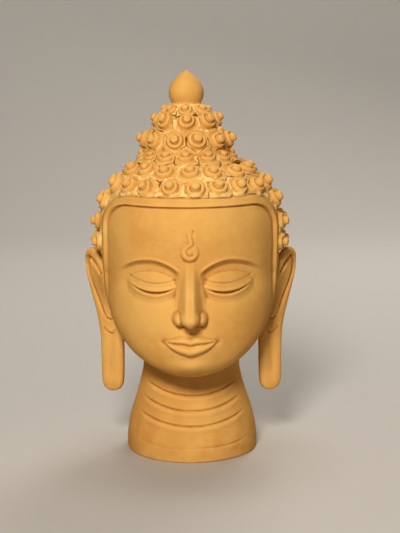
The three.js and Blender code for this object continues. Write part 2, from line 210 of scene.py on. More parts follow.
# Carved lines on an ear's front, as share of the blade's half width and height
EAR_RIM_LINE = [
    (-0.55, 160), (-0.25, 167), (0.05, 172), (0.3, 174), (0.55, 172), (0.68, 166), (0.62, 157), (0.5, 147),
    (0.36, 138), (0.22, 130), (0.08, 123), (-0.1, 119), (-0.3, TONGUE_END_Z), (-0.5, 119), (-0.6, 122),
]
EAR_TUCK_LINE = [(-0.5, 108), (-0.35, 106), (-0.2, 105), (0, 105.6), (0.2, 107.4), (0.4, 110)]
LOBE_LINE = [(-0.17, 102), (0, 80), (0.08, 58)]

# Cranial bun and bud
BUN_SHIFT_X = -2.5
BUN_PROFILE = [[44, 254], [42, 264], [35, 279], [26, 293], [18, 304], [13, 311], [0, 316]]
# Clay that fills the fold between the skull and the bun
BUN_FOLD = [[57, 250], [50.5, 257], [46, 262]]
BUD_R = 15.6
BUD_WIDEST_Z = 321
BUD_UNDERSIDE = 17
BUD_FOOT_R = 12
BUD_FOOT_Z = 310
BUD_SHOULDER = 1.8
BUD_POINT = 0.9

# Curls: a smooth skirt, a coiled ring on it and a knob on the ring
CURL_RISE = 9
CURL_PITCH = 22.8
CURL_STRAY = 0.06
CURL_CLEAR_OF_BORDER = 1.2
CURLS_BESIDE_BORDER_Y = -14
CURL_SIDES = 64
CURL_RINGS = 44
CURL_FOOT_R = 13.4
SKIRT_R = [5, 6.5, 8, 9.5, 11, 12.4, CURL_FOOT_R]
SKIRT_Z = [4.8, 3.7, 2.3, 1.0, 0.1, -0.9, -4]
RING_R = [8.1, 6.9]
RING_Z = [4.2, 6.2]
RING_SLOPE = 0.16
KNOB_R = [4.2, 3.4]
KNOB_FOOT_Z = 7.6
KNOB_RISE = 2.1
COIL_EDGE = 0.3
COIL_CUT = 1.0
COIL_END = 0.14
COIL_START = 2.5
COIL_START_STRAY = 0.8
SCALP_SINK = 0.5
SCALP_SINK_BEHIND_FACE = 14
HAIR_TUCK = 5
HEM_RISE = 1.4
CROWN_Z = [240, 252]
CROWN_LEAN = 0.5
CROWN_RISE = 0.8
SKULL_ROWS_Z = [253, 241, 226, 208, 190, 172, 154, 136, 119]
ROW_STAGGER = 0.2
# Height, inset, tilt, size, start and rise of each row on the bun; the lowest lies flat in the fold
BUN_ROWS = [
    (265, 4, 1.15, 0.92, 0, 0.7),
    (279, 0, 0.45, 0.98, 0.5, 1),
    (295.5, 0, 0.6, 0.94, 0, 1),
    (304.5, 0, 0.95, 0.75, 0, 0.8),
]

# Slip squeezed out between the curls, and the cracks in it
SLIP_RISE = 0.7
SLIP_HALF = 1.8
SLIP_STOPS_AT = [1.2, 3.2]
SLIP_REACH = [14, 17]
HEM_OFF_BORDER = 2.4
HEM_HALF = 1.8
HEM_FOOT_Z = [176, 190]
COLLAR_BELOW_BUD = 1
COLLAR_HALF = 2.2
CRACK_DEPTH = 1.5
CRACK_HALF = 0.95
CRACKS_STOP_Z = [303, 307]
BORDER_CRACK = 0.45

# Fineness of the clay surface
FACE_GRID = (520, 600)
SCALP_GRID = (360, 220)
EAR_GRID = (150, 300)
BUN_SIDES = 200
BUD_SIDES = 120
BUD_STEPS = 24
FACE_VOXEL = 0.65 * MM
HAIR_VOXEL = 0.55 * MM
MOST_TRIANGLES = 194000


def ramp(start, end, value):
    share = np.clip((value - start) / (end - start), 0.0, 1.0)
    return share * share * (3.0 - 2.0 * share)


def bell(offset, width):
    return np.exp(-((offset / width) ** 2))


def lerp(start, end, share):
    return start + (end - start) * share


def soft_max(one, other, blend):
    """The higher of two heights, with a fillet of about the blend's size."""
    apart = np.clip(0.5 + 0.5 * (one - other) / blend, 0.0, 1.0)
    return lerp(other, one, apart) + blend * apart * (1.0 - apart)


def scatter(seed):
    """Repeatable scatter between -1 and 1 for things placed one by one."""
    wave = math.sin(seed * 12.9898) * 43758.5453
    return 2.0 * (wave - math.floor(wave)) - 1.0


def grit(points, size, seed):
    """An uneven field between -1 and 1, in lumps of about the size given."""
    cell = np.floor(points / size)
    share = ramp(0, 1, points / size - cell)
    total = np.zeros(len(points))
    for corner in itertools.product((0, 1), repeat=3):
        key = (cell + corner) @ np.array([12.9898, 78.233, 37.719]) + 7.31 * seed
        wave = np.sin(key) * 43758.5453
        weight = np.prod(np.where(np.array(corner) == 1, share, 1.0 - share), axis=1)
        total += weight * (wave - np.floor(wave))
    return 2.0 * total - 1.0


def line_distance(across, high, line):
    """Distance in the plane from points to a drawn line."""
    nearest = np.full(np.shape(across), 1e9)
    for (ax, az), (bx, bz) in zip(line, line[1:]):
        run_x = bx - ax
        run_z = bz - az
        along = ((across - ax) * run_x + (high - az) * run_z) / (run_x**2 + run_z**2)
        along = np.clip(along, 0.0, 1.0)
        nearest = np.minimum(nearest, np.hypot(across - ax - along * run_x, high - az - along * run_z))
    return nearest


def clear_selection():
    if bpy.context.mode != "OBJECT":
        bpy.ops.object.mode_set(mode="OBJECT")
    bpy.ops.object.select_all(action="DESELECT")


def points_of(piece):
    flat = np.empty(3 * len(piece.data.vertices), dtype=np.float32)
    piece.data.vertices.foreach_get("co", flat)
    return flat.reshape(-1, 3).astype(float)


def place_points(piece, columns):
    """Puts a piece's points at places given in millimetres."""
    points = np.stack(columns, axis=1) * MM
    piece.data.vertices.foreach_set("co", points.astype(np.float32).ravel())
    piece.data.update()


def clay_ball(name, columns, rows):
    """A fine ball, from a coarse one whose faces are each cut in sixteen."""
    clear_selection()
    bpy.ops.mesh.primitive_uv_sphere_add(segments=columns // 4, ring_count=rows // 4, radius=1.0)
    piece = bpy.context.object
    piece.name = name
    bpy.ops.object.mode_set(mode="EDIT")
    bpy.ops.mesh.select_all(action="SELECT")
    bpy.ops.mesh.subdivide(number_cuts=3)
    bpy.ops.object.mode_set(mode="OBJECT")
    return piece


def ball_points(piece):
    points = points_of(piece)
    return (points / np.linalg.norm(points, axis=1)[:, None]).T


def thrown(name, pairs, sides):
    """A pot-like shape pulled up ring by ring from a disc, along radius and height pairs."""
    clear_selection()
    radius, height = pairs[0]
    foot = (0, 0, height * MM)
    bpy.ops.mesh.primitive_circle_add(vertices=sides, radius=radius * MM, fill_type="NGON", location=foot)
    piece = bpy.context.object
    piece.name = name
    bpy.ops.object.transform_apply(location=True)
    bpy.ops.object.mode_set(mode="EDIT")
    bpy.ops.mesh.select_all(action="SELECT")
    for next_radius, next_height in pairs[1:]:
        rise = {"value": (0, 0, (next_height - height) * MM)}
        bpy.ops.mesh.extrude_region_move(TRANSFORM_OT_translate=rise)
        narrowing = next_radius / radius
        bpy.ops.transform.resize(value=(narrowing, narrowing, 1), center_override=(0, 0, 0))
        radius = next_radius
        height = next_height
    bpy.ops.mesh.select_all(action="SELECT")
    bpy.ops.mesh.normals_make_consistent(inside=False)
    bpy.ops.object.mode_set(mode="OBJECT")
    return piece


def skull_share(z):
    """Share of the skull's full section that is left at a height."""
    up = np.clip((z - SKULL_MIDDLE_Z) / (SKULL_TOP_Z - SKULL_MIDDLE_Z), 0.0, 1.0)
    down = np.clip((SKULL_MIDDLE_Z - z) / (SKULL_MIDDLE_Z - SKULL_BOTTOM_Z), 0.0, 1.0)
    return np.where(z > SKULL_MIDDLE_Z, np.sqrt(1 - up**2), (1 - down**JAW_ROUNDING) ** SKULL_FULLNESS)


def outside_window(x, z, half_width, top_z, corner):
    """Distance outside an upturned U of the front view, below zero inside it."""
    across = np.abs(x) - half_width + corner
    up = z - top_z + corner
    round_part = np.hypot(np.maximum(across, 0), np.maximum(up, 0))
    straight_part = np.minimum(np.maximum(across, up), 0)
    return round_part + straight_part - corner


def outside_border(x, z):
    return outside_window(x, z, BORDER_OUTER_X, BORDER_TOP_Z, BORDER_OUTER_CORNER_R)


def outside_hairline(x, z):
    return outside_window(x, z, BORDER_INNER_X, BORDER_BOTTOM_Z, BORDER_CORNER_R)


def bare(x, y, z):
    """True where the face, the border or an ear leaves no room for a curl."""
    in_window = y < CURLS_BESIDE_BORDER_Y and outside_border(x, z) < CURL_CLEAR_OF_BORDER
    by_ear = abs(x) > NECK_TOP_R and y < EAR_BACK_Y and z < EAR_TOP_Z + 4
    return in_window or by_ear


def skull_seats():
    """Point, outward direction, size, rise and seed of each curl on the skull."""
    seats = []
    for row, row_z in enumerate(SKULL_ROWS_Z):
        around = math.pi * (SKULL_HALF_WIDTH + SKULL_HALF_DEPTH) * float(skull_share(row_z))
        count = math.floor(around / CURL_PITCH + 0.5)
        for i in range(count):
            seed = 100 * row + i + 1
            turn = 2 * math.pi * (i + ROW_STAGGER * (row % 2) + CURL_STRAY * scatter(seed)) / count
            z = row_z + CURL_RISE * 2 * CURL_STRAY * scatter(seed + 0.5)
            wide = float(skull_share(z))
            x = SKULL_HALF_WIDTH * wide * math.sin(turn)
            y = -SKULL_HALF_DEPTH * wide * math.cos(turn)
            if bare(x, y, z):
                continue
            fall = float(skull_share(z + 0.5) - skull_share(z - 0.5)) * wide
            outward = Vector((x / SKULL_HALF_WIDTH**2, y / SKULL_HALF_DEPTH**2, -fall)).normalized()
            on_crown = float(ramp(*CROWN_Z, z))
            outward.z += CROWN_LEAN * on_crown
            outward.normalize()
            size = 1 + CURL_STRAY * scatter(seed + 0.25)
            seats.append((Vector((x, y, z)), outward, size, lerp(1, CROWN_RISE, on_crown), seed))
    return seats


def bun_radius(z):
    heights = [pair[1] for pair in BUN_PROFILE]
    radii = [pair[0] for pair in BUN_PROFILE]
    return np.interp(z, heights, radii)


def bun_seats():
    """Point, outward direction, size, rise and seed of each curl on the bun."""
    seats = []
    for row, (z, inset, tilt, size, start, rise) in enumerate(BUN_ROWS):
        radius = float(bun_radius(z))
        count = math.floor(2 * math.pi * (radius + CURL_RISE / 3) / (CURL_PITCH * size) + 0.5)
        radius = radius - inset
        for i in range(count):
            seed = 100 * (len(SKULL_ROWS_Z) + row) + i + 1
            turn = 2 * math.pi * (i + start + CURL_STRAY * scatter(seed)) / count
            aside = math.sin(turn)
            ahead = math.cos(turn)
            outward = Vector((aside * math.cos(tilt), -ahead * math.cos(tilt), math.sin(tilt)))
            point = Vector((BUN_SHIFT_X + radius * aside, -radius * ahead, z))
            seats.append((point, outward, size * (1 + CURL_STRAY * scatter(seed + 0.25)), rise, seed))
    return seats


def among_curls(points, seats):
    """Distance off the line midway between two curls, then height over and reach from the nearest seat."""
    places = np.array([seat[0] for seat in seats])
    outward = np.array([seat[1] for seat in seats])
    gap = np.empty(len(points))
    raised = np.empty(len(points))
    reach = np.empty(len(points))
    batch = 20000
    for start in range(0, len(points), batch):
        some = points[start:start + batch]
        apart = np.linalg.norm(some[:, None, :] - places[None, :, :], axis=2)
        nearest = apart.argmin(axis=1)
        two = np.partition(apart, 1, axis=1)
        gap[start:start + batch] = two[:, 1] - two[:, 0]
        reach[start:start + batch] = two[:, 0]
        lift = some - places[nearest]
        raised[start:start + batch] = np.einsum("ij,ij->i", lift, outward[nearest])
    return gap, raised, reach


def slip_and_cracks(points, seats):
    """Shares of slip and of open crack at points of the hair."""
    x, y, z = points.T
    gap, raised, reach = among_curls(points, seats)
    low = (1 - ramp(*SLIP_STOPS_AT, raised)) * (1 - ramp(*SLIP_REACH, reach))
    ragged = gap + 2.2 * grit(points, 2.2, 1) + 1.8 * grit(points, 5, 2)
    opened = ramp(-0.1, 0.15, grit(points, 13, 3) + 0.6 * grit(points, 6, 4))
    slip = bell(np.maximum(ragged, 0), SLIP_HALF) * ramp(-0.75, -0.1, grit(points, 11, 5))
    above_border = outside_border(x, z)
    ahead = y < WINDOW_BACK_Y
    hem = bell(above_border - HEM_OFF_BORDER, HEM_HALF) * ahead * ramp(-0.3, 0.4, grit(points, 5, 6))
    hem = hem * ramp(*HEM_FOOT_Z, z)
    collar = bell(z - BUD_FOOT_Z + COLLAR_BELOW_BUD, COLLAR_HALF) * (np.hypot(x - BUN_SHIFT_X, y) < BUD_R)
    slip = np.maximum(np.maximum(slip * low, hem), collar)
    # Cracks between the curls and a groove along the border's edge, carved in and later painted dark by
    # the clay as painted shade
    crack = bell(gap + 0.8 * grit(points, 4, 7), CRACK_HALF) * opened * low
    edge = bell(above_border - 0.3, 0.7) * ahead * ramp(-0.2, 0.5, grit(points, 9, 8))
    crack = np.maximum(crack, BORDER_CRACK * edge) * (1 - ramp(*CRACKS_STOP_Z, z))
    return slip * (1 - 0.6 * crack), crack


def neck_radius(z):
    flared = lerp(NECK_FOOT_R, NECK_TOP_R, ramp(NECK_FLARE_FOOT_Z, NECK_FLARE_TOP_Z, z))
    return flared - NECK_EDGE * (1 - ramp(0, FOOT_ROUNDING, z))


def neck():
    heights = np.arange(0, NECK_HIDDEN_Z, NECK_RING_STEP)
    piece = thrown("neck", [(float(neck_radius(z)), float(z)) for z in heights], NECK_SIDES)
    x, y, z = (points_of(piece) / MM).T
    turn = np.arctan2(x, -y)
    ahead = np.cos(turn) > 0
    sag = NECK_LINE_SAG * ahead * (1 - (np.sin(turn) / math.sin(NECK_LINE_REACH)) ** 2)
    shown = 1 - ramp(NECK_LINE_REACH - NECK_LINE_FADE, NECK_LINE_REACH + NECK_LINE_OVERRUN, np.abs(turn))
    cut = np.zeros(len(z))
    for line in NECK_LINES_Z:
        wander = NECK_LINE_WANDER * np.sin(2.3 * turn + line)
        off_line = z - (line - sag) - wander
        cut += NECK_LINE_DEPTH * bell(off_line, NECK_LINE_HALF)
        cut -= NECK_FOLD_SWELL * bell(off_line + NECK_FOLD_BELOW, NECK_FOLD_HALF)
    foot_line = FOOT_LINE_Z - FOOT_LINE_SAG_SHARE * sag + FOOT_LINE_WANDER * np.sin(5 * turn + 1)
    clearer = lerp(FOOT_LINE_FAINT, 1, ramp(0.05, 0.4, turn))
    cut += FOOT_LINE_DEPTH * bell(z - foot_line, FOOT_LINE_HALF) * clearer
    swell = 1 - cut * shown / np.maximum(np.hypot(x, y), 1)
    place_points(piece, (x * swell, y * swell * NECK_DEPTH_RATIO, z))
    return piece


def oval_at(z):
    """Half width, front depth, back depth and middle line of the face's oval at a height."""
    down = np.clip((FACE_WIDEST_Z - z) / (FACE_WIDEST_Z - CHIN_Z), 0.0, 1.0)
    up = np.clip((z - FACE_WIDEST_Z) / (SKULL_TOP_Z - FACE_WIDEST_Z), 0.0, 1.0)
    closed = np.sqrt(1 - up**12)
    share = skull_share(np.maximum(z, FACE_WIDEST_Z)) * closed
    tapered = np.sqrt(1 - down**JAW_TAPER)
    rounded = (1 - down**JAW_ROUNDING) ** SKULL_FULLNESS
    half_width = (SKULL_HALF_WIDTH - FACE_SET_IN) * share * tapered
    front = ((SKULL_HALF_DEPTH - FACE_SET_IN) * share - CHIN_TUCK * down) * rounded
    back = lerp(FACE_BACK, CHIN_BACK, down) * rounded * closed
    return half_width, front, back, -CHIN_FORWARD * down**1.5


def fullness(x, z):
    muzzle = bell(x, MUZZLE_SPREAD[0]) * bell(z - MOUTH_Z, MUZZLE_SPREAD[1])
    chin = bell(x, CHIN_SPREAD[0]) * bell(z - CHIN_BALL_Z, CHIN_SPREAD[1])
    return MUZZLE_RISE * muzzle + CHIN_RISE * chin


def eye_relief(x, z, ground):
    """Brow, socket, lids and eyeball of both eyes, as heights over the oval."""
    u = np.abs(x)
    inner = BROW_INNER[0] * ((BROW_PEAK_X - u) / BROW_INNER[1]) ** 2
    outer = BROW_OUTER[0] * ((u - BROW_PEAK_X) / BROW_OUTER[1]) ** 2
    below = BROW_Z + BROW_RISE - np.where(u < BROW_PEAK_X, inner, outer) - z
    inside = ramp(6, 14, u) * (1 - ramp(48, 66, u))
    socket = SOCKET_DEPTH * ramp(-0.5, 4.5, below) * (1 - ramp(0, 22, EYE_Z - z)) * inside
    height = ground - socket + BROW_EDGE * bell(below + 1.0, 1.7) * inside
    across = (u - EYE_X) / EYE_HALF[0]
    ball = np.sqrt(np.maximum(0, 1 - across**2 - ((z - EYE_Z + EYE_DROP) / EYE_HALF[1]) ** 2))
    height = soft_max(height, ground - EYE_SINK + EYE_BULGE * ball, 4.0)
    line = EYE_Z - LID_DROP + LID_SAG * across**2 + LID_SLANT * across
    gap = LID_GAP * np.maximum(0, 1 - (across / 0.9) ** 2)
    on_eye = 1 - ramp(0.86, 1.0, np.abs(across))
    over = z - line
    under = line - gap - z
    lid = LID_EDGE * ramp(-0.4, 0.4, over) * (1 - ramp(1.4, 4.5, over))
    crease = LID_CREASE * bell(over - LID_CREASE_UP, 0.9)
    lower = LOWER_LID_EDGE * ramp(-0.4, 0.4, under) * (1 - ramp(1.0, 4, under))
    opening = EYE_OPENING * ramp(-0.3, 0.4, -over) * ramp(-0.3, 0.4, -under)
    return height + on_eye * (lid - crease + lower - opening)


def nose_relief(x, z, ground):
    """Bridge, tip, wings and nostrils, as heights over the oval."""
    u = np.abs(x)
    root_z = BROW_Z - 1
    down = np.clip((root_z - z) / (root_z - NOSE_TIP_Z), 0, 1)
    drop = np.clip((NOSE_TIP_Z - z) / NOSE_TIP_HALF[2], 0, 1)
    reach = lerp(NOSE_ROOT_REACH, NOSE_REACH, down**1.05) * np.sqrt(1 - drop**2)
    reach = reach * (1 - ramp(0, 12, z - root_z))
    ridge = lerp(*NOSE_RIDGE, down)
    foot = ridge + lerp(*NOSE_SLOPE, down)
    bridge = reach * (1 - ramp(0.6 * ridge, foot, u)) - 1.6 * np.maximum(0, u - foot)
    bridge = bridge - OFF_THE_NOSE * ramp(0, 4, NOSE_BASE_Z - 1 - z) - 5 * ramp(-2, 14, z - root_z)
    on_tip = 1 - (u / NOSE_TIP_HALF[0]) ** 2 - ((z - NOSE_TIP_Z) / NOSE_TIP_HALF[2]) ** 2
    tip = NOSE_REACH - 9 + NOSE_TIP_HALF[1] * np.sqrt(np.maximum(0, on_tip))
    tip = np.where(tip > NOSE_REACH - 8.99, tip, -OFF_THE_NOSE)
    wing_u = (u - (NOSE_HALF_WIDTH - 5)) / WING_HALF[0]
    wing_z = (z - NOSE_BASE_Z - 5) / WING_HALF[2]
    wing = WING_HALF[1] * np.sqrt(np.maximum(0, 1 - wing_u**2 - wing_z**2))
    wing = np.where(wing > 0, wing, -OFF_THE_NOSE)
    height = soft_max(soft_max(bridge, tip, 3.0), wing, 2.4)
    nostril = NOSTRIL_DEPTH * bell(u - 5.6, 2.2) * bell(z - NOSE_BASE_Z - 0.6, 1.7)
    return soft_max(ground, height, 2.2) - nostril


def mouth_relief(x, z, ground):
    """Lips, corners and the hollows round them, as heights over the oval."""
    u = np.abs(x)
    across = np.clip(u / MOUTH_HALF_WIDTH, 0, 1)
    line = MOUTH_Z + MOUTH_LIFT * across**2 - 0.9 * bell(x, 4)
    upper_high = UPPER_LIP[0] * (1 - across**1.7) - 1.4 * bell(x, 3) + 0.01
    lower_high = LOWER_LIP[0] * (1 - across**2.2) ** 0.8 + 0.01
    up = np.clip((z - line) / upper_high, 0, 1)
    down = np.clip((line - z) / lower_high, 0, 1)
    full = (1 - across**2.4) ** 0.5
    upper = UPPER_LIP[1] * full * np.sin(math.pi * up) ** LIP_FULLNESS
    lower = LOWER_LIP[1] * full * np.sin(math.pi * down) ** LIP_FULLNESS
    corner = 1.8 * bell(u - MOUTH_HALF_WIDTH - 0.5, 3) * bell(z - MOUTH_Z - 1.6, 3)
    groove = 0.9 * bell(x, 3.2) * ramp(0, 4, z - MOUTH_Z - 6) * (1 - ramp(9, 14, z - MOUTH_Z))
    rest = 1.6 * bell(x, 15) * bell(z - MOUTH_Z + 13.5, 4)
    return ground + upper + lower - corner - groove - rest


def mark_relief(x, z):
    """A drop with a carved coil that runs up into a flame tail, as height over the forehead."""
    up = z - MARK_Z
    from_middle = np.hypot(x, up)
    drop = MARK_PROUD * np.sqrt(np.maximum(0, 1 - (from_middle / MARK_R) ** 5))
    drop = drop * lerp(0.3, 1, 1 - ramp(-6, 7, up))
    tail = 0.8 * bell(x - 0.6, 3.2) * ramp(2, 7, up) * (1 - ramp(13, 19, up))
    coil = bell(line_distance(x, up, MARK_COIL), MARK_LINE_HALF)
    side = bell(line_distance(x, up, MARK_TAIL_LINE), MARK_LINE_HALF)
    return np.maximum(drop, tail) - MARK_LINE_DEPTH * np.maximum(coil, 0.8 * side)


def face():
    piece = clay_ball("face", *FACE_GRID)
    ux, uy, uz = ball_points(piece)
    z = FACE_WIDEST_Z + uz * np.where(uz < 0, FACE_WIDEST_Z - CHIN_Z, SKULL_TOP_Z - FACE_WIDEST_Z)
    column = np.arctan2(ux, -uy) / math.pi
    turn = math.pi * lerp(column**5, column, OVAL_FRONT_CROWDING)
    half_width, front, back, middle = oval_at(z)
    open_part = np.clip(half_width / 20, 0, 1)
    facing = ramp(0, 0.5, np.cos(turn)) * open_part
    x = half_width * np.sin(turn)
    hairline = outside_hairline(x, z)
    border = ramp(-0.1, 1.0, hairline) * (1 - ramp(-0.9, 0.3, outside_border(x, z)))
    fading = ramp(BORDER_FOOT_Z - 12, BORDER_FOOT_Z + 34, z)
    border = border * fading * (np.cos(turn) > 0)
    scribed = BORDER_LINE_DEPTH * bell(hairline + 0.6, 0.85) * fading
    grow = (BORDER_PROUD * border - scribed * (np.cos(turn) > 0)) * open_part
    x = (half_width + grow) * np.sin(turn)
    deep = np.where(np.cos(turn) > 0, front + grow, back)
    cheeks = CHEEK_RISE * bell(np.abs(x) - CHEEK_X, CHEEK_SPREAD[0]) * bell(z - CHEEK_Z, CHEEK_SPREAD[1])
    relief = eye_relief(x, z, np.zeros(len(z)))
    relief = nose_relief(x, z, relief)
    relief = mouth_relief(x, z, relief)
    relief = relief + mark_relief(x, z) + cheeks
    y = middle - deep * np.cos(turn) - (fullness(x, z) + relief) * facing
    place_points(piece, (x, y, z))
    return piece


def scalp():
    piece = clay_ball("scalp", *SCALP_GRID)
    ux, uy, uz = ball_points(piece)
    reach = np.where(uz > 0, SKULL_TOP_Z - SKULL_MIDDLE_Z, SKULL_MIDDLE_Z - SKULL_BOTTOM_Z)
    z = SKULL_MIDDLE_Z + uz * reach
    turn = np.arctan2(ux, -uy)
    share = skull_share(z)
    x = SKULL_HALF_WIDTH * share * np.sin(turn)
    y = -SKULL_HALF_DEPTH * share * np.cos(turn)
    in_window = (1 - ramp(-1.5, 0.5, outside_border(x, z))) * (1 - ramp(-4, 0, y - WINDOW_BACK_Y))
    hem = bell(outside_border(x, z) - 2, 2.4) * (y < WINDOW_BACK_Y)
    sunk = SCALP_SINK + SCALP_SINK_BEHIND_FACE * in_window - HEM_RISE * hem
    round_part = np.sqrt(np.maximum(0, 1 - uz**2))
    x = x - sunk * round_part * np.sin(turn)
    y = y + sunk * round_part * np.cos(turn)
    z = z - sunk * uz
    place_points(piece, (x, y, z))
    return piece


def ear_carving(across, z):
    """Depth of the lines cut into an ear's front, by share of its half width and height."""
    wide = across * EAR_HALF_WIDTH
    def stretched(line):
        return [(share * EAR_HALF_WIDTH, high) for share, high in line]
    rim = line_distance(wide, z, stretched(EAR_RIM_LINE))
    tuck = line_distance(wide, z, stretched(EAR_TUCK_LINE))
    lobe = line_distance(wide, z, stretched(LOBE_LINE))
    rim_depth = lerp(*EAR_RIM_DEPTH, ramp(145, 172, z))
    rim_half = lerp(*EAR_RIM_HALF, ramp(150, 172, z))
    over_tongue = z - (TONGUE_END_Z + 14 * (across + 0.29) ** 2)
    lifted = TONGUE_LIFT * ramp(0, 1.2, over_tongue) * (1 - ramp(2, 16, over_tongue))
    lifted = lifted * (1 - ramp(0.25, 0.5, np.abs(across + 0.25)))
    over_tuck = z - (TUCK_END_Z + 9 * (across + 0.15) ** 2)
    folded = TUCK_LIFT * ramp(0, 1, over_tuck) * (1 - ramp(1, 9, over_tuck)) * (np.abs(across) < 0.6)
    cut = rim_depth * bell(rim, rim_half) + TUCK_DEPTH * bell(tuck, 1.0)
    cut = cut + LOBE_LINE_DEPTH * bell(lobe, LOBE_LINE_HALF) * ramp(*LOBE_LINE_FADE_Z, z)
    return cut - (lifted + folded)


def ear(name, side):
    piece = clay_ball(name, *EAR_GRID)
    ux, uy, uz = ball_points(piece)
    z = lerp(EAR_BOTTOM_Z, EAR_TOP_Z, 0.5 + 0.5 * uz)
    ring = np.maximum(np.hypot(ux, uy), 1e-6)
    across = np.clip(side * ux / ring, -1, 1)
    fore = np.clip(-uy / ring, -1, 1)
    along = np.clip(np.abs(uz), 0, 1)
    ends = np.sqrt(1 - along ** np.where(uz > 0, 5, 14))
    raised = ramp(LOBE_FREE_Z, EAR_MIDDLE_Z, z)
    slant = lerp(LOBE_SLANT, EAR_TOP_SLANT, raised)
    half_blade = EAR_HALF_WIDTH / np.cos(slant) * ends
    squared = np.sign(across) * np.abs(across) ** 0.7
    reach = squared * half_blade
    rim = ramp(EAR_HOLLOW_TOP_Z - 10, EAR_HOLLOW_TOP_Z, z)
    in_leaf = ramp(EAR_HOLLOW_FOOT_Z, EAR_MIDDLE_Z, z) * (1 - rim)
    hollow = EAR_HOLLOW * in_leaf * bell(squared, 0.62) + ear_carving(squared, z)
    off = np.sign(fore) * np.abs(fore) ** 0.7 * EAR_HALF_THICKNESS * np.sqrt(ends)
    off = off - hollow * ramp(0.15, 0.5, fore) * ramp(0, 0.4, ends)
    middle_x = lerp(LOBE_X, EAR_TOP_X, ramp(LOBE_FREE_Z + 8, EAR_TOP_Z + 4, z))
    middle_y = lerp(LOBE_Y, EAR_TOP_Y, raised)
    x = side * (middle_x + reach * np.cos(slant) + off * np.sin(slant))
    y = middle_y + reach * np.sin(slant) - off * np.cos(slant)
    place_points(piece, (x, y, z))
    return piece


def bun():
    outline = [pair for pair in BUN_PROFILE if pair[1] > BUN_FOLD[-1][1]]
    radii, levels = np.array(BUN_FOLD + outline).T
    heights = np.arange(levels[0], levels[-1] - 0.5, 0.8)
    pairs = [(float(np.interp(z, levels, radii)) - SCALP_SINK, float(z)) for z in heights]
    piece = thrown("bun", pairs, BUN_SIDES)
    x, y, z = (points_of(piece) / MM).T
    above_fold = ramp(BUN_FOLD[1][1], BUN_FOLD[-1][1] + 4, z)
    narrowing = lerp(SKULL_HALF_WIDTH / SKULL_HALF_DEPTH, 1, above_fold)
    place_points(piece, (x * narrowing + BUN_SHIFT_X, y, z))
    return piece


def bud():
    foot = BUD_FOOT_R + 1
    pairs = [(foot, BUD_FOOT_Z - 4), (foot, BUD_FOOT_Z - 0.6)]
    for i in range(BUD_STEPS):
        below = lerp(BUD_WIDEST_Z - BUD_FOOT_Z, 0, i / BUD_STEPS)
        pairs.append((BUD_R * math.sqrt(1 - (below / BUD_UNDERSIDE) ** 2), BUD_WIDEST_Z - below))
    for i in range(BUD_STEPS):
        share = i / BUD_STEPS
        radius = BUD_R * (1 - share**BUD_SHOULDER) ** BUD_POINT
        pairs.append((radius, lerp(BUD_WIDEST_Z, HEIGHT, share)))
    pairs.append((0.1, HEIGHT))
    piece = thrown("bud", pairs, BUD_SIDES)
    x, y, z = (points_of(piece) / MM).T
    place_points(piece, (x + BUN_SHIFT_X, y, z))
    return piece


def first_curl():
    """One snail-shell curl, pulled up from a disc and then coiled."""
    radii = np.linspace(CURL_FOOT_R, 0.25, CURL_RINGS)
    heights = np.interp(radii, SKIRT_R, SKIRT_Z)
    piece = thrown("curl", [(float(r), float(z)) for r, z in zip(radii, heights)], CURL_SIDES)
    x, y, z = (points_of(piece) / MM).T
    radius = np.hypot(x, y)
    turn = np.mod(np.arctan2(y, x) / (2 * math.pi), 1)
    wound = np.minimum(turn / (1 - COIL_END), (1 - turn) / COIL_END)
    wound = np.where(turn < 1 - COIL_END, wound, ramp(0, 1, wound))
    ring_r = lerp(RING_R[0], RING_R[1], wound)
    knob_r = lerp(KNOB_R[0], KNOB_R[1], wound)
    tread = lerp(RING_Z[0], RING_Z[1], wound) + RING_SLOPE * (ring_r - radius)
    rounding = 0.7 * ramp(1.6, 0, ring_r - radius)
    z = lerp(z, tread - rounding, 1 - ramp(ring_r - COIL_EDGE, ring_r + COIL_EDGE, radius))
    z = z - COIL_CUT * (bell(radius - ring_r - 0.9, 0.75) + bell(radius - knob_r - 0.9, 0.75))
    dome = np.sqrt(np.maximum(0, 1 - (radius / (knob_r + COIL_EDGE)) ** 2))
    on_knob = 1 - ramp(knob_r - COIL_EDGE, knob_r + COIL_EDGE, radius)
    z = lerp(z, KNOB_FOOT_Z + KNOB_RISE * dome, on_knob)
    foot = radius > CURL_FOOT_R - 0.1
    place_points(piece, (x, y, np.where(foot, SKIRT_Z[-1], z)))
    return piece


def curl_place(point, outward, size, rise, seed):
    """Where a copy of the first curl stands: its own lean, twist and a slightly oval shape."""
    lean = Vector((scatter(seed + 0.11), scatter(seed + 0.37), scatter(seed + 0.61))) * 0.09
    out = (outward + lean).normalized()
    right = Vector((0, 0, 1)).cross(out).normalized()
    stand = Matrix((right, out.cross(right), out)).transposed().to_4x4()
    twist = Matrix.Rotation(COIL_START + COIL_START_STRAY * scatter(seed + 0.83), 4, "Z")
    oval_by = 1 + 0.06 * scatter(seed + 0.91)
    high = size * rise * (1 + 0.1 * scatter(seed + 0.19))
    shape = Matrix.Diagonal((size * oval_by, size / oval_by, high, 1))
    return Matrix.Translation(point * MM) @ stand @ twist @ shape


def set_curls(seats):
    """Copies of the first curl on their seats, joined."""
    pattern = first_curl()
    copies = []
    for seat in seats:
        copy = pattern.copy()
        copy.data = pattern.data.copy()
        bpy.context.collection.objects.link(copy)
        copy.matrix_world = curl_place(*seat)
        copies.append(copy)
    bpy.data.objects.remove(pattern)
    return joined("curls", copies)


def joined(name, pieces):
    clear_selection()
    for piece in pieces:
        piece.select_set(True)
    bpy.context.view_layer.objects.active = pieces[0]
    bpy.ops.object.join()
    piece = bpy.context.object
    piece.name = name
    bpy.ops.object.transform_apply(location=True, rotation=True, scale=True)
    return piece


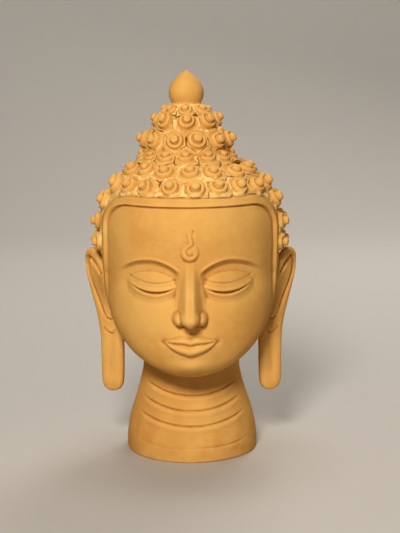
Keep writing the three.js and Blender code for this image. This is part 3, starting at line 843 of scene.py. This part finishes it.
def finish_with(piece, kind, **settings):
    """Adds a modifier and applies it."""
    clear_selection()
    piece.select_set(True)
    bpy.context.view_layer.objects.active = piece
    modifier = piece.modifiers.new(kind.title(), kind)
    for name, value in settings.items():
        setattr(modifier, name, value)
    bpy.ops.object.modifier_apply(modifier=modifier.name)


def triangles_of(piece):
    return sum(len(face.vertices) - 2 for face in piece.data.polygons)


def normals_of(piece):
    flat = np.empty(3 * len(piece.data.vertices), dtype=np.float32)
    piece.data.vertices.foreach_get("normal", flat)
    return flat.reshape(-1, 3).astype(float)


def hollowness(piece, points):
    """How far each point lies below the mean of the clay round it, in millimetres."""
    edges = np.empty(2 * len(piece.data.edges), dtype=np.int64)
    piece.data.edges.foreach_get("vertices", edges)
    one, other = edges.reshape(-1, 2).T
    count = np.bincount(one, minlength=len(points)) + np.bincount(other, minlength=len(points))
    mean = points
    for _ in range(10):
        sums = []
        for column in mean.T:
            from_one = np.bincount(other, column[one], len(points))
            from_other = np.bincount(one, column[other], len(points))
            sums.append(from_one + from_other)
        mean = np.stack(sums, axis=1) / np.maximum(count, 1)[:, None]
    return np.einsum("ij,ij->i", mean - points, normals_of(piece))


def paint(piece, name, values):
    attribute = piece.data.attributes.new(name, "FLOAT", "POINT")
    attribute.data.foreach_set("value", np.clip(values, 0, 1).astype(np.float32))


def fuse(name, parts, voxel):
    """Lutes parts into one clay body with softened edges."""
    piece = joined(name, parts)
    finish_with(piece, "REMESH", mode="VOXEL", voxel_size=voxel)
    finish_with(piece, "SMOOTH", factor=0.5, iterations=1)
    return piece


def press_in(piece, depth):
    """Moves each point of a piece inwards by its depth in millimetres."""
    points = points_of(piece) / MM - normals_of(piece) * depth[:, None]
    points[:, 2] = np.clip(points[:, 2], 0, HEIGHT)
    place_points(piece, points.T)


def tuck_behind_border(piece):
    """Moves hair that overlaps the smooth border back into the head, so that the border cuts it off."""
    x, y, z = (points_of(piece) / MM).T
    over = (1 - ramp(-1.8, 0.1, outside_border(x, z))) * (y < WINDOW_BACK_Y)
    place_points(piece, (x, y + HAIR_TUCK * over, z))


def largest_shell(piece):
    """Drops slivers and the small closed bubbles that luting leaves inside the clay."""
    name = piece.name
    clear_selection()
    piece.select_set(True)
    bpy.context.view_layer.objects.active = piece
    bpy.ops.object.mode_set(mode="EDIT")
    bpy.ops.mesh.select_all(action="SELECT")
    bpy.ops.mesh.dissolve_degenerate(threshold=1e-6)
    bpy.ops.mesh.separate(type="LOOSE")
    bpy.ops.object.mode_set(mode="OBJECT")
    shells = list(bpy.context.selected_objects)
    largest = max(shells, key=lambda shell: len(shell.data.vertices))
    for shell in shells:
        if shell is not largest:
            bpy.data.objects.remove(shell)
    largest.name = name
    return largest


def fire(piece, slip, crack):
    """Paints where slip, cracks and hollows lie, and thins the mesh to at most a set number of triangles.
    """
    paint(piece, "slip", slip)
    paint(piece, "crack", crack)
    paint(piece, "hollow", 0.5 + hollowness(piece, points_of(piece) / MM))
    share = MOST_TRIANGLES / triangles_of(piece)
    if share < 1:
        finish_with(piece, "DECIMATE", ratio=share, use_collapse_triangulate=True)
    piece = largest_shell(piece)
    clear_selection()
    piece.select_set(True)
    bpy.context.view_layer.objects.active = piece
    bpy.ops.object.shade_smooth()
    piece.data.materials.clear()
    piece.data.materials.append(CLAY)
    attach(piece, "root")
    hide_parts("buddha_head")
    return piece


def make_face():
    piece = fuse("face_and_neck", [neck(), face(), ear("right_ear", 1), ear("left_ear", -1)], FACE_VOXEL)
    points = points_of(piece) / MM
    press_in(piece, 0.18 * grit(points, 16, 21) + 0.1 * grit(points, 6, 22))
    x, y, z = points.T
    # Painted shade: a faint dark line on the face just outside the smooth border, where the hair meets it,
    # passed on as crack
    beside = bell(outside_border(x, z) - 0.8, 1.2) * (y < WINDOW_BACK_Y) * (z > BORDER_FOOT_Z)
    bare_clay = np.zeros(len(points))
    return fire(piece, bare_clay, 0.25 * beside)


def make_hair(name, forms, own_seats):
    piece = fuse(name, [*forms, set_curls(own_seats)], HAIR_VOXEL)
    points = points_of(piece) / MM
    seats = skull_seats() + bun_seats()
    slip, crack = slip_and_cracks(points, seats)
    lumps = 0.5 * grit(points, 2.2, 32) + 0.35 * grit(points, 1.2, 33)
    rough = 0.14 * grit(points, 6, 31) + slip * lumps
    press_in(piece, CRACK_DEPTH * crack - SLIP_RISE * slip + rough)
    tuck_behind_border(piece)
    return fire(piece, slip, crack)


def linear(red, green, blue):
    """A colour given by its sRGB values out of 255."""
    def one(value):
        share = value / 255
        return share / 12.92 if share <= 0.04045 else ((share + 0.055) / 1.055) ** 2.4
    return (one(red), one(green), one(blue), 1.0)


class Value:
    """A socket's value, so that sums on it add Math nodes."""

    def __init__(self, recipe, socket):
        self.recipe = recipe
        self.socket = socket

    def math(self, operation, first, second):
        return self.recipe.add("ShaderNodeMath", {"operation": operation}, {0: first, 1: second})

    def __add__(self, other):
        return self.math("ADD", self, other)

    def __radd__(self, other):
        return self.math("ADD", other, self)

    def __sub__(self, other):
        return self.math("SUBTRACT", self, other)

    def __rsub__(self, other):
        return self.math("SUBTRACT", other, self)

    def __mul__(self, other):
        return self.math("MULTIPLY", self, other)

    def __rmul__(self, other):
        return self.math("MULTIPLY", other, self)


class Recipe:
    """One material and the nodes that make it up."""

    def __init__(self, name):
        self.material = bpy.data.materials.new(name)
        self.material.use_nodes = True
        self.tree = self.material.node_tree
        self.tree.nodes.clear()

    def add(self, kind, settings, sockets, output=0):
        node = self.tree.nodes.new(kind)
        for name, value in settings.items():
            setattr(node, name, value)
        for key, value in sockets.items():
            if isinstance(value, Value):
                self.tree.links.new(value.socket, node.inputs[key])
            else:
                node.inputs[key].default_value = value
        return Value(self, node.outputs[output]) if node.outputs else None

    def mix(self, share, one, other):
        return self.add("ShaderNodeMix", {"data_type": "RGBA"}, {0: share, 6: one, 7: other}, 2)

    def between(self, value, low, high):
        """A value brought smoothly from low..high to 0..1."""
        settings = {"interpolation_type": "SMOOTHSTEP"}
        sockets = {"Value": value, "From Min": low, "From Max": high}
        return self.add("ShaderNodeMapRange", settings, sockets)

    def noise(self, where, scale, detail=3.0, roughness=0.55):
        sockets = {"Vector": where, "Scale": scale, "Detail": detail, "Roughness": roughness}
        return self.add("ShaderNodeTexNoise", {}, sockets)


def terracotta():
    clay = Recipe("terracotta")
    where = clay.add("ShaderNodeTexCoord", {}, {}, "Object")
    height = clay.add("ShaderNodeSeparateXYZ", {}, {"Vector": where}, "Z")
    slip = clay.add("ShaderNodeAttribute", {"attribute_name": "slip"}, {}, "Fac")
    crack = clay.add("ShaderNodeAttribute", {"attribute_name": "crack"}, {}, "Fac")
    hollow = clay.add("ShaderNodeAttribute", {"attribute_name": "hollow"}, {}, "Fac")
    cloud = clay.between(clay.noise(where, 14.0, 4.0), 0.35, 0.7)
    patch = clay.between(clay.noise(where, 60.0, 5.0, 0.6), 0.4, 0.72)
    grain = clay.noise(where, 900.0, 3.0, 0.65)
    speck = clay.between(clay.noise(where, 420.0, 2.0), 0.66, 0.78)
    colour = clay.mix(cloud, linear(206, 154, 84), linear(217, 170, 98))
    colour = clay.mix(patch * 0.35, colour, linear(226, 177, 107))
    colour = clay.mix(speck * 0.25, colour, linear(176, 112, 54))
    low = 1 - clay.between(height, 0.008, 0.05)
    stain = clay.between(clay.noise(where, 34.0, 4.0, 0.6), 0.48, 0.72)
    colour = clay.mix(low * stain * 0.5, colour, linear(202, 116, 50))
    # Painted shade: clay that lies below the clay round it, in creases and hollows, is darkened
    deep = clay.between(hollow, 0.54, 0.95)
    colour = clay.mix(deep * 0.65, colour, linear(146, 82, 30))
    # Partly wear and partly painted highlight: clay that stands above the clay round it, on ridges and
    # bulges, is made paler and a little smoother
    wear_and_highlight = 1 - clay.between(hollow, 0.2, 0.46)
    colour = clay.mix(wear_and_highlight * 0.3, colour, linear(234, 188, 122))
    grains = clay.between(clay.noise(where, 620.0, 2.0), 0.3, 0.62)
    colour = clay.mix(slip * (0.45 + grains * 0.55), colour, linear(240, 208, 142))
    # Painted shade: cracks and the groove along the smooth border are painted near black-brown
    colour = clay.mix(crack * 0.9, colour, linear(96, 48, 18))
    rough = 0.8 + grain * 0.14 - wear_and_highlight * 0.05
    bumps = grain * 0.6 + clay.noise(where, 180.0, 4.0, 0.6) * 0.8
    settings = {"Strength": 0.22, "Distance": 0.0006, "Height": bumps}
    normal = clay.add("ShaderNodeBump", {}, settings)
    shader = {"Base Color": colour, "Roughness": rough, "Normal": normal, "Specular IOR Level": 0.1}
    surface = clay.add("ShaderNodeBsdfPrincipled", {}, shader)
    clay.add("ShaderNodeOutputMaterial", {}, {"Surface": surface})
    return clay.material


def choose_edges(piece, wanted):
    """Selects the edges of a piece in edit mode whose middle is wanted."""
    mesh = bmesh.from_edit_mesh(piece.data)
    for edge in mesh.edges:
        edge.select_set(False)
    for edge in mesh.edges:
        if wanted((edge.verts[0].co + edge.verts[1].co) / 2):
            edge.select_set(True)
    bmesh.update_edit_mesh(piece.data)


def studio_sweep():
    """A pale floor that curves up into a wall far behind."""
    clear_selection()
    bpy.ops.mesh.primitive_plane_add(size=1.0)
    sweep = bpy.context.object
    sweep.name = "studio_sweep"
    bpy.ops.object.mode_set(mode="EDIT")
    bpy.ops.mesh.select_mode(type="EDGE")
    bpy.ops.mesh.select_all(action="SELECT")
    bpy.ops.transform.resize(value=(9, 7, 1))
    bpy.ops.transform.translate(value=(0, -1.1, 0))
    choose_edges(sweep, lambda middle: middle.y > 2.3)
    bpy.ops.mesh.extrude_region_move(TRANSFORM_OT_translate={"value": (0, 0, 3.5)})
    choose_edges(sweep, lambda middle: middle.y > 2.3 and middle.z < 0.1)
    bpy.ops.mesh.bevel(offset=1.0, segments=16, affect="EDGES")
    bpy.ops.object.mode_set(mode="OBJECT")
    bpy.ops.object.shade_smooth()
    paper = Recipe("pale_paper")
    shader = {"Base Color": linear(198, 194, 188), "Roughness": 0.9}
    surface = paper.add("ShaderNodeBsdfPrincipled", {}, shader)
    paper.add("ShaderNodeOutputMaterial", {}, {"Surface": surface})
    sweep.data.materials.append(paper.material)


def soft_light(name, place, target, size, power, tint):
    lamp = bpy.data.lights.new(name, "AREA")
    lamp.shape = "DISK"
    lamp.size = size
    lamp.energy = power
    lamp.color = tint
    holder = bpy.data.objects.new(name, lamp)
    holder.location = place
    holder.rotation_euler = (Vector(target) - Vector(place)).to_track_quat("-Z", "Y").to_euler()
    bpy.context.collection.objects.link(holder)


def studio_light():
    soft_light("key", (-0.25, -1.5, 1.15), (0, 0, 0.17), 0.45, 28, (1.0, 0.96, 0.9))
    soft_light("fill", (0.9, -1.4, 0.4), (0, 0, 0.17), 1.0, 0.8, (1.0, 0.88, 0.74))
    soft_light("back", (0.5, 1.3, 1.3), (0, 0, 0.2), 0.9, 9, (1.0, 0.95, 0.9))
    soft_light("wall", (0, 0.6, 2.2), (0, 2.3, 0.7), 1.2, 16, (1.0, 0.99, 0.97))
    world = bpy.data.worlds.new("studio")
    world.use_nodes = True
    world.node_tree.nodes["Background"].inputs["Color"].default_value = (1.0, 0.93, 0.85, 1.0)
    world.node_tree.nodes["Background"].inputs["Strength"].default_value = 0.045
    bpy.context.scene.world = world


# The photograph's viewpoint: metres in front and above the base, and pixels of its 400 by 533 frame
VIEW_BACK = 1.150
VIEW_UP = 0.345
VIEW_PITCH = math.radians(8.91)
VIEW_ROLL = math.radians(0.45)
VIEW_FOCUS_PX = 1290.7
VIEW_AXIS_PX = 192
FRAME_WIDE_PX = 400
FRAME_HIGH_PX = 533


def viewpoint():
    camera = bpy.data.cameras.new("viewpoint")
    camera.sensor_fit = "VERTICAL"
    camera.sensor_height = 36.0
    camera.lens = VIEW_FOCUS_PX * 36.0 / FRAME_HIGH_PX
    holder = bpy.data.objects.new("viewpoint", camera)
    aside = (FRAME_WIDE_PX / 2 - VIEW_AXIS_PX) * VIEW_BACK / VIEW_FOCUS_PX
    middle_drop = VIEW_UP - VIEW_BACK * math.tan(VIEW_PITCH)
    aside = aside + middle_drop * math.tan(VIEW_ROLL)
    turned = Matrix.Rotation(math.pi / 2 - VIEW_PITCH, 4, "X") @ Matrix.Rotation(-VIEW_ROLL, 4, "Z")
    holder.matrix_world = Matrix.Translation((aside, -VIEW_BACK, VIEW_UP)) @ turned
    bpy.context.collection.objects.link(holder)
    bpy.context.scene.camera = holder


CLAY = terracotta()
pieces = [
    make_face(),
    make_hair("skull_hair", [scalp()], skull_seats()),
    make_hair("bun_hair", [bun(), bud()], bun_seats()),
]
studio_sweep()
studio_light()
viewpoint()
bpy.context.scene.view_settings.view_transform = "Standard"
bpy.context.scene.view_settings.look = "Medium High Contrast"
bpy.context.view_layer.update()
